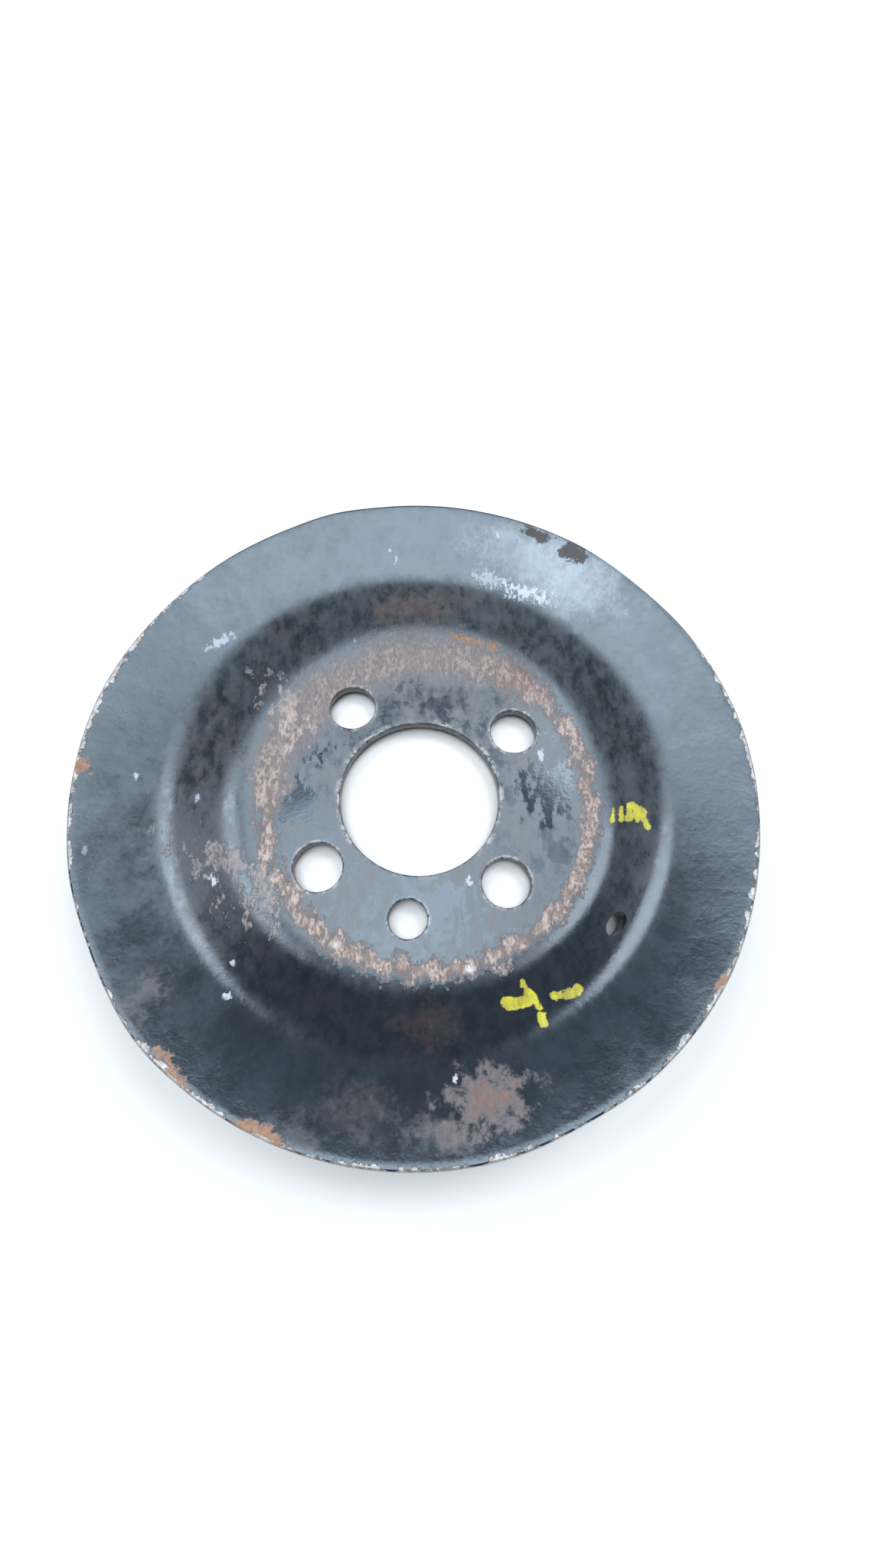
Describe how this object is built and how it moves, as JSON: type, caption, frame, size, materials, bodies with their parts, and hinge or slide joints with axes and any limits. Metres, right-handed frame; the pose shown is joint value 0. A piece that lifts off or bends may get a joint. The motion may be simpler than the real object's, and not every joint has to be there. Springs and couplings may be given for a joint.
{
  "type": "v-belt pulley",
  "caption": "Pressed-steel V-belt pulley: a dished disc with a bored web and bolt holes, welded to a rear ring that completes the groove.",
  "frame": {"origin": "centre of the bore on the rear face of the web, which seats on the hub", "axes": "+Z along the axis of rotation, out of the open side of the dish; +X between the offset bolt hole and the first one"},
  "size_m": [0.1448, 0.1448, 0.0175],
  "materials": {
    "black_paint": "worn semi-gloss black enamel with rust",
    "weld_steel": "dull weld steel"
  },
  "bodies": {
    "root": {"front_pressing": "black_paint", "rear_pressing": "black_paint", "weld_nuggets": "weld_steel"}
  },
  "joints": []
}
